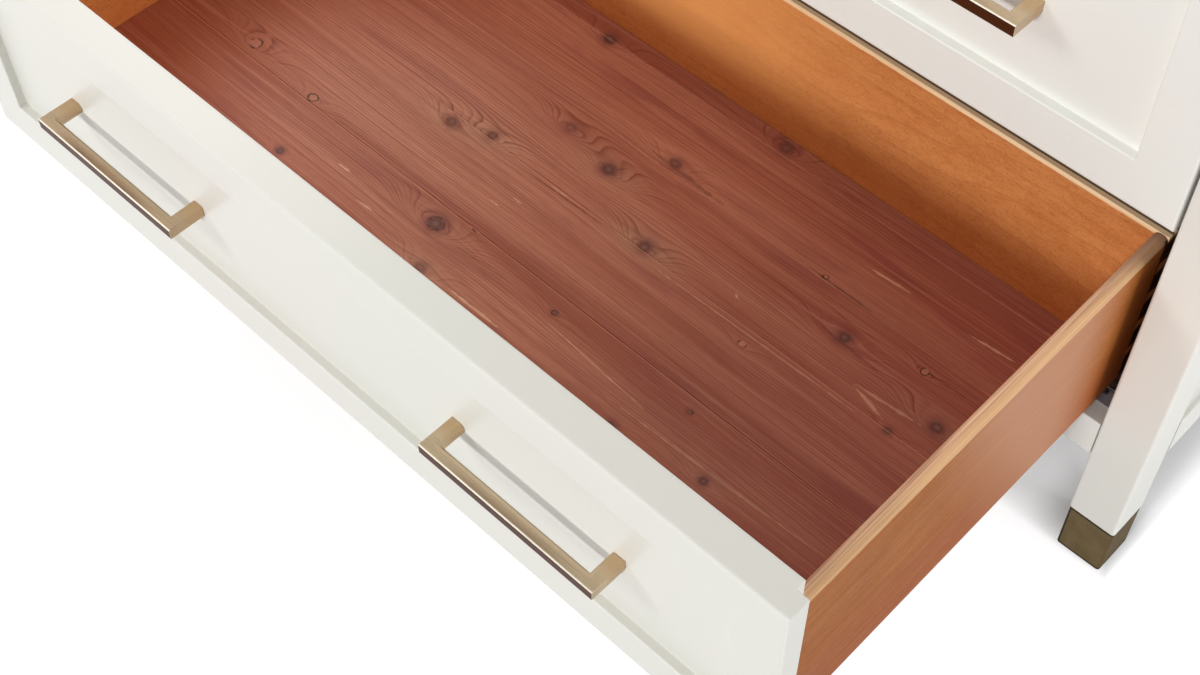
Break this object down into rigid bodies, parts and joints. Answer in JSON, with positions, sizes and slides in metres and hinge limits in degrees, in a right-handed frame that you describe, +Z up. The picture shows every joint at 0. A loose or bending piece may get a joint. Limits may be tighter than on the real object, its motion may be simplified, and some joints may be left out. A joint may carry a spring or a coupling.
{
  "type": "tall chest of drawers",
  "caption": "Tall painted chest with recessed-panel drawers on concealed slides, bar pulls, square posts with metal feet; the lowest drawer stands fully open.",
  "frame": {"origin": "on the floor, at the middle of the room that the chest takes with its lowest drawer fully open", "axes": "+Z up, -Y towards the front, where the drawers open, +X to the right seen from the front"},
  "size_m": [1.016, 0.9156, 1.3843],
  "materials": {
    "cream_paint": "satin paint over wood",
    "stained_birch": "clear satin varnish over stained birch",
    "cedar": "bare planed cedar",
    "champagne_bronze": "brushed",
    "aged_bronze": "satin",
    "zinc_steel": "zinc plated"
  },
  "bodies": {
    "case": {"back_panel": "cream_paint", "base_frame": "cream_paint", "ferrule_front_left": "aged_bronze", "ferrule_front_right": "aged_bronze", "ferrule_rear_left": "aged_bronze", "ferrule_rear_right": "aged_bronze", "front_rail": "cream_paint", "post_front_left": "cream_paint", "post_front_right": "cream_paint", "post_rear_left": "cream_paint", "post_rear_right": "cream_paint", "side_panel_left": "cream_paint", "side_panel_right": "cream_paint", "slide_1_left_cabinet": "zinc_steel", "slide_1_right_cabinet": "zinc_steel", "slide_2_left_cabinet": "zinc_steel", "slide_2_right_cabinet": "zinc_steel", "slide_3_left_cabinet": "zinc_steel", "slide_3_right_cabinet": "zinc_steel", "slide_4_left_cabinet": "zinc_steel", "slide_4_right_cabinet": "zinc_steel", "slide_5_left_cabinet": "zinc_steel", "slide_5_right_cabinet": "zinc_steel", "top_panel": "cream_paint"},
    "drawer_1": {"drawer_1_back": "stained_birch", "drawer_1_bottom": "stained_birch", "drawer_1_cedar": "cedar", "drawer_1_front": "cream_paint", "drawer_1_pull_left": "champagne_bronze", "drawer_1_pull_right": "champagne_bronze", "drawer_1_side_left": "stained_birch", "drawer_1_side_right": "stained_birch", "slide_1_left_drawer": "zinc_steel", "slide_1_right_drawer": "zinc_steel"},
    "slide_1_left_runner": {"slide_1_left_middle": "zinc_steel"},
    "slide_1_right_runner": {"slide_1_right_middle": "zinc_steel"},
    "drawer_2": {"drawer_2_box": "stained_birch", "drawer_2_front": "cream_paint", "drawer_2_pull_left": "champagne_bronze", "drawer_2_pull_right": "champagne_bronze"},
    "slide_2_left_runner": {"slide_2_left_middle": "zinc_steel"},
    "slide_2_right_runner": {"slide_2_right_middle": "zinc_steel"},
    "drawer_3": {"drawer_3_box": "stained_birch", "drawer_3_front": "cream_paint", "drawer_3_pull_left": "champagne_bronze", "drawer_3_pull_right": "champagne_bronze"},
    "slide_3_left_runner": {"slide_3_left_middle": "zinc_steel"},
    "slide_3_right_runner": {"slide_3_right_middle": "zinc_steel"},
    "drawer_4": {"drawer_4_box": "stained_birch", "drawer_4_front": "cream_paint", "drawer_4_pull_left": "champagne_bronze", "drawer_4_pull_right": "champagne_bronze"},
    "slide_4_left_runner": {"slide_4_left_middle": "zinc_steel"},
    "slide_4_right_runner": {"slide_4_right_middle": "zinc_steel"},
    "drawer_5": {"drawer_5_box": "stained_birch", "drawer_5_front": "cream_paint", "drawer_5_pull_left": "champagne_bronze", "drawer_5_pull_right": "champagne_bronze"},
    "slide_5_left_runner": {"slide_5_left_middle": "zinc_steel"},
    "slide_5_right_runner": {"slide_5_right_middle": "zinc_steel"}
  },
  "joints": [
    {"name": "drawer_1_slide", "type": "slide", "parent": "case", "child": "drawer_1", "axis": [0, -1, 0], "range_m": [-0.4071, 0]},
    {"name": "slide_1_left_runner_slide", "type": "slide", "parent": "case", "child": "slide_1_left_runner", "axis": [0, -1, 0], "range_m": [-0.20355, 0]},
    {"name": "slide_1_right_runner_slide", "type": "slide", "parent": "case", "child": "slide_1_right_runner", "axis": [0, -1, 0], "range_m": [-0.20355, 0]},
    {"name": "drawer_2_slide", "type": "slide", "parent": "case", "child": "drawer_2", "axis": [0, -1, 0], "range_m": [0, 0.4071]},
    {"name": "slide_2_left_runner_slide", "type": "slide", "parent": "case", "child": "slide_2_left_runner", "axis": [0, -1, 0], "range_m": [0, 0.20355]},
    {"name": "slide_2_right_runner_slide", "type": "slide", "parent": "case", "child": "slide_2_right_runner", "axis": [0, -1, 0], "range_m": [0, 0.20355]},
    {"name": "drawer_3_slide", "type": "slide", "parent": "case", "child": "drawer_3", "axis": [0, -1, 0], "range_m": [0, 0.4071]},
    {"name": "slide_3_left_runner_slide", "type": "slide", "parent": "case", "child": "slide_3_left_runner", "axis": [0, -1, 0], "range_m": [0, 0.20355]},
    {"name": "slide_3_right_runner_slide", "type": "slide", "parent": "case", "child": "slide_3_right_runner", "axis": [0, -1, 0], "range_m": [0, 0.20355]},
    {"name": "drawer_4_slide", "type": "slide", "parent": "case", "child": "drawer_4", "axis": [0, -1, 0], "range_m": [0, 0.4071]},
    {"name": "slide_4_left_runner_slide", "type": "slide", "parent": "case", "child": "slide_4_left_runner", "axis": [0, -1, 0], "range_m": [0, 0.20355]},
    {"name": "slide_4_right_runner_slide", "type": "slide", "parent": "case", "child": "slide_4_right_runner", "axis": [0, -1, 0], "range_m": [0, 0.20355]},
    {"name": "drawer_5_slide", "type": "slide", "parent": "case", "child": "drawer_5", "axis": [0, -1, 0], "range_m": [0, 0.4071]},
    {"name": "slide_5_left_runner_slide", "type": "slide", "parent": "case", "child": "slide_5_left_runner", "axis": [0, -1, 0], "range_m": [0, 0.20355]},
    {"name": "slide_5_right_runner_slide", "type": "slide", "parent": "case", "child": "slide_5_right_runner", "axis": [0, -1, 0], "range_m": [0, 0.20355]}
  ],
  "couplings": [
    {"joint": "slide_1_left_runner_slide", "follows": "drawer_1_slide", "ratio": 0.5},
    {"joint": "slide_1_right_runner_slide", "follows": "drawer_1_slide", "ratio": 0.5},
    {"joint": "slide_2_left_runner_slide", "follows": "drawer_2_slide", "ratio": 0.5},
    {"joint": "slide_2_right_runner_slide", "follows": "drawer_2_slide", "ratio": 0.5},
    {"joint": "slide_3_left_runner_slide", "follows": "drawer_3_slide", "ratio": 0.5},
    {"joint": "slide_3_right_runner_slide", "follows": "drawer_3_slide", "ratio": 0.5},
    {"joint": "slide_4_left_runner_slide", "follows": "drawer_4_slide", "ratio": 0.5},
    {"joint": "slide_4_right_runner_slide", "follows": "drawer_4_slide", "ratio": 0.5},
    {"joint": "slide_5_left_runner_slide", "follows": "drawer_5_slide", "ratio": 0.5},
    {"joint": "slide_5_right_runner_slide", "follows": "drawer_5_slide", "ratio": 0.5}
  ]
}
